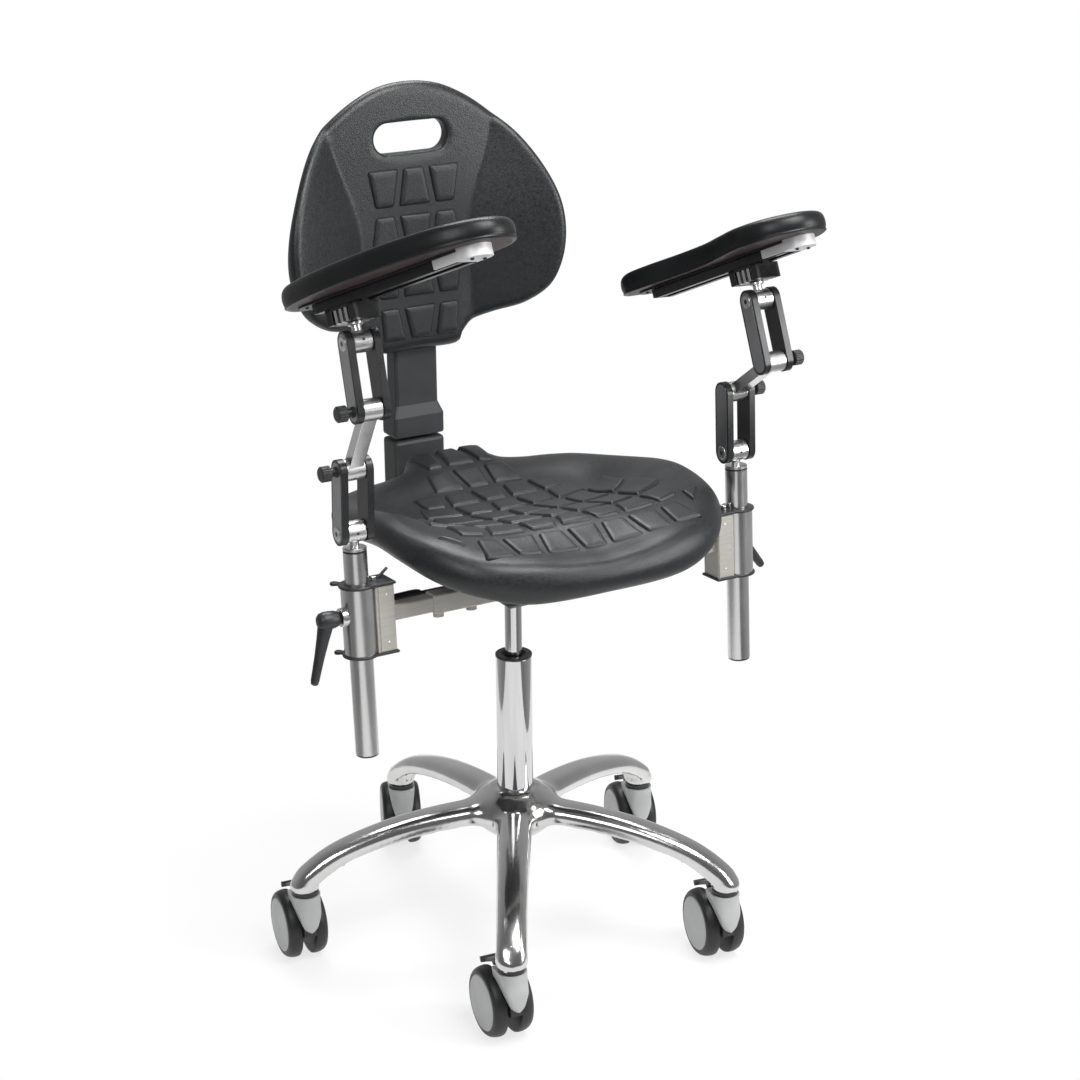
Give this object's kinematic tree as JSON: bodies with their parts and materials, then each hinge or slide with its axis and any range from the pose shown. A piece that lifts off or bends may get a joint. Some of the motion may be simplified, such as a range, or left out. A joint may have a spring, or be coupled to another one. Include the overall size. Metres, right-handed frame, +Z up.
{
  "type": "surgeon stool",
  "caption": "Swivelling surgeon stool with a gas column on a castered star base, moulded seat and back, and articulated arm rests on clamped masts.",
  "frame": {"origin": "centre of the stool's bounding box in plan, on the floor", "axes": "+Z up, the stool faces -Y and its left side is +X"},
  "size_m": [0.6949, 0.7021, 1.154],
  "materials": {
    "polished aluminium": "polished",
    "chrome": "polished",
    "satin aluminium": "satin",
    "anodised": "satin anodised",
    "painted steel": "satin",
    "black plastic": "matte",
    "grey plastic": "matte",
    "tyre": "matte",
    "moulded foam": "grained skin"
  },
  "bodies": {
    "base": {"star_base": "polished aluminium", "column_tube": "chrome", "column_bush": "black plastic", "thrust_bearing": "satin aluminium"},
    "swivel_rod": {"gas_rod": "chrome"},
    "column": {"gas_cylinder": "chrome", "mechanism_housing": "painted steel"},
    "seat": {"seat_plate": "painted steel", "seat_cushion": "moulded foam", "cross_tube": "painted steel"},
    "height_lever": {"height_lever": "black plastic"},
    "back_upright": {"back_bar": "painted steel", "back_socket": "black plastic"},
    "backrest": {"back_sleeve": "black plastic", "back_cushion": "moulded foam"},
    "caster_0": {"caster_0_housing": "grey plastic"},
    "caster_0_wheels": {"caster_0_wheels": "tyre"},
    "caster_0_pedal": {"caster_0_brake": "black plastic"},
    "caster_1": {"caster_1_housing": "grey plastic"},
    "caster_1_wheels": {"caster_1_wheels": "tyre"},
    "caster_1_pedal": {"caster_1_brake": "black plastic"},
    "caster_2": {"caster_2_housing": "grey plastic"},
    "caster_2_wheels": {"caster_2_wheels": "tyre"},
    "caster_2_pedal": {"caster_2_brake": "black plastic"},
    "caster_3": {"caster_3_housing": "grey plastic"},
    "caster_3_wheels": {"caster_3_wheels": "tyre"},
    "caster_3_pedal": {"caster_3_brake": "black plastic"},
    "caster_4": {"caster_4_housing": "grey plastic"},
    "caster_4_wheels": {"caster_4_wheels": "tyre"},
    "caster_4_pedal": {"caster_4_brake": "black plastic"},
    "right_arm": {"right_cross_arm": "painted steel", "right_clamp": "anodised"},
    "right_clamp_lever": {"right_clamp_lever": "black plastic"},
    "right_mast": {"right_mast": "satin aluminium"},
    "right_mast_eye": {"right_mast_eye": "satin aluminium"},
    "right_lower_bracket": {"right_lower_bracket": "black plastic"},
    "right_lower_knob": {"right_lower_knob": "black plastic"},
    "right_mid_link": {"right_mid_link": "satin aluminium"},
    "right_upper_bracket": {"right_upper_bracket": "black plastic"},
    "right_upper_knob": {"right_upper_knob": "black plastic"},
    "right_pad_eye": {"right_pad_eye": "satin aluminium"},
    "right_pad_carrier": {"right_pad_carrier": "black plastic"},
    "right_pad": {"right_pad_rail": "black plastic", "right_pad_plate": "satin aluminium", "right_arm_pad": "moulded foam"},
    "left_arm": {"left_cross_arm": "painted steel", "left_clamp": "anodised"},
    "left_clamp_lever": {"left_clamp_lever": "black plastic"},
    "left_mast": {"left_mast": "satin aluminium"},
    "left_mast_eye": {"left_mast_eye": "satin aluminium"},
    "left_lower_bracket": {"left_lower_bracket": "black plastic"},
    "left_lower_knob": {"left_lower_knob": "black plastic"},
    "left_mid_link": {"left_mid_link": "satin aluminium"},
    "left_upper_bracket": {"left_upper_bracket": "black plastic"},
    "left_upper_knob": {"left_upper_knob": "black plastic"},
    "left_pad_eye": {"left_pad_eye": "satin aluminium"},
    "left_pad_carrier": {"left_pad_carrier": "black plastic"},
    "left_pad": {"left_pad_rail": "black plastic", "left_pad_plate": "satin aluminium", "left_arm_pad": "moulded foam"}
  },
  "joints": [
    {"name": "seat_swivel", "type": "hinge", "parent": "base", "child": "swivel_rod", "pos_m": [-0.002, -0.034, 0.1802], "axis": [0, 0, 1], "continuous": true},
    {"name": "seat_height", "type": "slide", "parent": "swivel_rod", "child": "column", "axis": [0, 0, 1], "range_m": [-0.075, 0.11]},
    {"name": "seat_tilt", "type": "hinge", "parent": "column", "child": "seat", "pos_m": [-0.002, -0.034, 0.5469], "axis": [1, 0, 0], "range_deg": [-4, 7]},
    {"name": "height_lever_lift", "type": "hinge", "parent": "column", "child": "height_lever", "pos_m": [-0.069, -0.097, 0.5549], "axis": [0, 1, 0], "range_deg": [0, 6], "stiffness_Nm_per_rad": 0.6},
    {"name": "back_angle", "type": "hinge", "parent": "seat", "child": "back_upright", "pos_m": [-0.002, 0.08378, 0.5397], "axis": [1, 0, 0], "range_deg": [-10, 6]},
    {"name": "back_height", "type": "slide", "parent": "back_upright", "child": "backrest", "axis": [0, 0, 1], "range_m": [0, 0.06]},
    {"name": "caster_0_swivel", "type": "hinge", "parent": "base", "child": "caster_0", "pos_m": [-0.15358, -0.29289, 0], "axis": [0, 0, 1], "continuous": true},
    {"name": "caster_0_roll", "type": "hinge", "parent": "caster_0", "child": "caster_0_wheels", "pos_m": [-0.15053, -0.25802, 0.0475], "axis": [-0.9962, 0.0872, 0], "continuous": true},
    {"name": "caster_0_pedal", "type": "hinge", "parent": "caster_0", "child": "caster_0_pedal", "pos_m": [-0.15019, -0.25404, 0.1015], "axis": [-0.9962, 0.0872, 0], "range_deg": [-8, 4]},
    {"name": "caster_1_swivel", "type": "hinge", "parent": "base", "child": "caster_1", "pos_m": [0.19737, -0.25817, 0], "axis": [0, 0, 1], "continuous": true},
    {"name": "caster_1_roll", "type": "hinge", "parent": "caster_1", "child": "caster_1_wheels", "pos_m": [0.20285, -0.2236, 0.0475], "axis": [-0.9877, 0.1564, 0], "continuous": true},
    {"name": "caster_1_pedal", "type": "hinge", "parent": "caster_1", "child": "caster_1_pedal", "pos_m": [0.20347, -0.21965, 0.1015], "axis": [-0.9877, 0.1564, 0], "range_deg": [-8, 4]},
    {"name": "caster_2_swivel", "type": "hinge", "parent": "base", "child": "caster_2", "pos_m": [0.2728, 0.08635, 0], "axis": [0, 0, 1], "continuous": true},
    {"name": "caster_2_roll", "type": "hinge", "parent": "caster_2", "child": "caster_2_wheels", "pos_m": [0.28068, 0.12045, 0.0475], "axis": [-0.9744, 0.225, 0], "continuous": true},
    {"name": "caster_2_pedal", "type": "hinge", "parent": "caster_2", "child": "caster_2_pedal", "pos_m": [0.28158, 0.12434, 0.1015], "axis": [-0.9744, 0.225, 0], "range_deg": [-8, 4]},
    {"name": "caster_3_swivel", "type": "hinge", "parent": "base", "child": "caster_3", "pos_m": [-0.03154, 0.26454, 0], "axis": [0, 0, 1], "continuous": true},
    {"name": "caster_3_roll", "type": "hinge", "parent": "caster_3", "child": "caster_3_wheels", "pos_m": [-0.01842, 0.29699, 0.0475], "axis": [-0.9272, 0.3746, 0], "continuous": true},
    {"name": "caster_3_pedal", "type": "hinge", "parent": "caster_3", "child": "caster_3_pedal", "pos_m": [-0.01693, 0.3007, 0.1015], "axis": [-0.9272, 0.3746, 0], "range_deg": [-8, 4]},
    {"name": "caster_4_swivel", "type": "hinge", "parent": "base", "child": "caster_4", "pos_m": [-0.29506, 0.03017, 0], "axis": [0, 0, 1], "continuous": true},
    {"name": "caster_4_roll", "type": "hinge", "parent": "caster_4", "child": "caster_4_wheels", "pos_m": [-0.2914, 0.06497, 0.0475], "axis": [-0.9945, 0.1045, 0], "continuous": true},
    {"name": "caster_4_pedal", "type": "hinge", "parent": "caster_4", "child": "caster_4_pedal", "pos_m": [-0.29098, 0.06895, 0.1015], "axis": [-0.9945, 0.1045, 0], "range_deg": [-8, 4]},
    {"name": "right_arm_width", "type": "slide", "parent": "seat", "child": "right_arm", "axis": [-1, 0, 0], "range_m": [-0.008, 0.06]},
    {"name": "right_clamp_lever_turn", "type": "hinge", "parent": "right_arm", "child": "right_clamp_lever", "pos_m": [-0.31, -0.1495, 0.575], "axis": [1, 0, 0], "range_deg": [-45, 45]},
    {"name": "right_mast_height", "type": "slide", "parent": "right_arm", "child": "right_mast", "axis": [0, 0.061, 0.9981], "range_m": [-0.04, 0.11]},
    {"name": "right_mast_turn", "type": "hinge", "parent": "right_mast", "child": "right_mast_eye", "pos_m": [-0.284, -0.14297, 0.6818], "axis": [0, 0.061, 0.9981], "range_deg": [-60, 60]},
    {"name": "right_lower_bracket_tilt", "type": "hinge", "parent": "right_mast_eye", "child": "right_lower_bracket", "pos_m": [-0.284, -0.14297, 0.6818], "axis": [1, 0, 0], "range_deg": [-40, 50]},
    {"name": "right_lower_knob_turn", "type": "hinge", "parent": "right_lower_bracket", "child": "right_lower_knob", "pos_m": [-0.284, -0.14678, 0.76271], "axis": [1, 0, 0], "range_deg": [-180, 180]},
    {"name": "right_link_tilt", "type": "hinge", "parent": "right_lower_bracket", "child": "right_mid_link", "pos_m": [-0.284, -0.14678, 0.76271], "axis": [-1, 0, 0], "range_deg": [-40, 45]},
    {"name": "right_upper_bracket_tilt", "type": "hinge", "parent": "right_mid_link", "child": "right_upper_bracket", "pos_m": [-0.284, -0.20019, 0.85195], "axis": [1, 0, 0], "range_deg": [-40, 40]},
    {"name": "right_upper_knob_turn", "type": "hinge", "parent": "right_upper_bracket", "child": "right_upper_knob", "pos_m": [-0.284, -0.20019, 0.85195], "axis": [1, 0, 0], "range_deg": [-180, 180]},
    {"name": "right_pad_tilt", "type": "hinge", "parent": "right_upper_bracket", "child": "right_pad_eye", "pos_m": [-0.284, -0.17882, 0.93008], "axis": [1, 0, 0], "range_deg": [-30, 35]},
    {"name": "right_pad_turn", "type": "hinge", "parent": "right_pad_eye", "child": "right_pad_carrier", "pos_m": [-0.284, -0.16867, 0.95183], "axis": [0, 0.4226, 0.9063], "range_deg": [-45, 45]},
    {"name": "right_pad_slide", "type": "slide", "parent": "right_pad_carrier", "child": "right_pad", "axis": [0.3907, -0.8343, 0.389], "range_m": [-0.1, 0.014]},
    {"name": "left_arm_width", "type": "slide", "parent": "seat", "child": "left_arm", "axis": [1, 0, 0], "range_m": [-0.008, 0.06]},
    {"name": "left_clamp_lever_turn", "type": "hinge", "parent": "left_arm", "child": "left_clamp_lever", "pos_m": [0.29099, -0.12598, 0.57356], "axis": [0.4226, 0.9046, -0.0553], "range_deg": [-20, 60]},
    {"name": "left_mast_height", "type": "slide", "parent": "left_arm", "child": "left_mast", "axis": [0, 0.061, 0.9981], "range_m": [-0.05, 0.1]},
    {"name": "left_mast_turn", "type": "hinge", "parent": "left_mast", "child": "left_mast_eye", "pos_m": [0.28, -0.14233, 0.69228], "axis": [0, 0.061, 0.9981], "range_deg": [-60, 60]},
    {"name": "left_lower_bracket_tilt", "type": "hinge", "parent": "left_mast_eye", "child": "left_lower_bracket", "pos_m": [0.28, -0.14233, 0.69228], "axis": [1, 0, 0], "range_deg": [-40, 50]},
    {"name": "left_lower_knob_turn", "type": "hinge", "parent": "left_lower_bracket", "child": "left_lower_knob", "pos_m": [0.28, -0.13809, 0.77317], "axis": [1, 0, 0], "range_deg": [-180, 180]},
    {"name": "left_link_tilt", "type": "hinge", "parent": "left_lower_bracket", "child": "left_mid_link", "pos_m": [0.28, -0.13809, 0.77317], "axis": [-1, 0, 0], "range_deg": [-40, 45]},
    {"name": "left_upper_bracket_tilt", "type": "hinge", "parent": "left_mid_link", "child": "left_upper_bracket", "pos_m": [0.28, -0.22254, 0.83386], "axis": [1, 0, 0], "range_deg": [-40, 40]},
    {"name": "left_upper_knob_turn", "type": "hinge", "parent": "left_upper_bracket", "child": "left_upper_knob", "pos_m": [0.28, -0.22254, 0.83386], "axis": [1, 0, 0], "range_deg": [-180, 180]},
    {"name": "left_pad_tilt", "type": "hinge", "parent": "left_upper_bracket", "child": "left_pad_eye", "pos_m": [0.28, -0.19103, 0.90848], "axis": [1, 0, 0], "range_deg": [-30, 35]},
    {"name": "left_pad_turn", "type": "hinge", "parent": "left_pad_eye", "child": "left_pad_carrier", "pos_m": [0.28, -0.18088, 0.93023], "axis": [0, 0.4226, 0.9063], "range_deg": [-45, 45]},
    {"name": "left_pad_slide", "type": "slide", "parent": "left_pad_carrier", "child": "left_pad", "axis": [0.2756, -0.8712, 0.4062], "range_m": [-0.04, 0.1]}
  ]
}
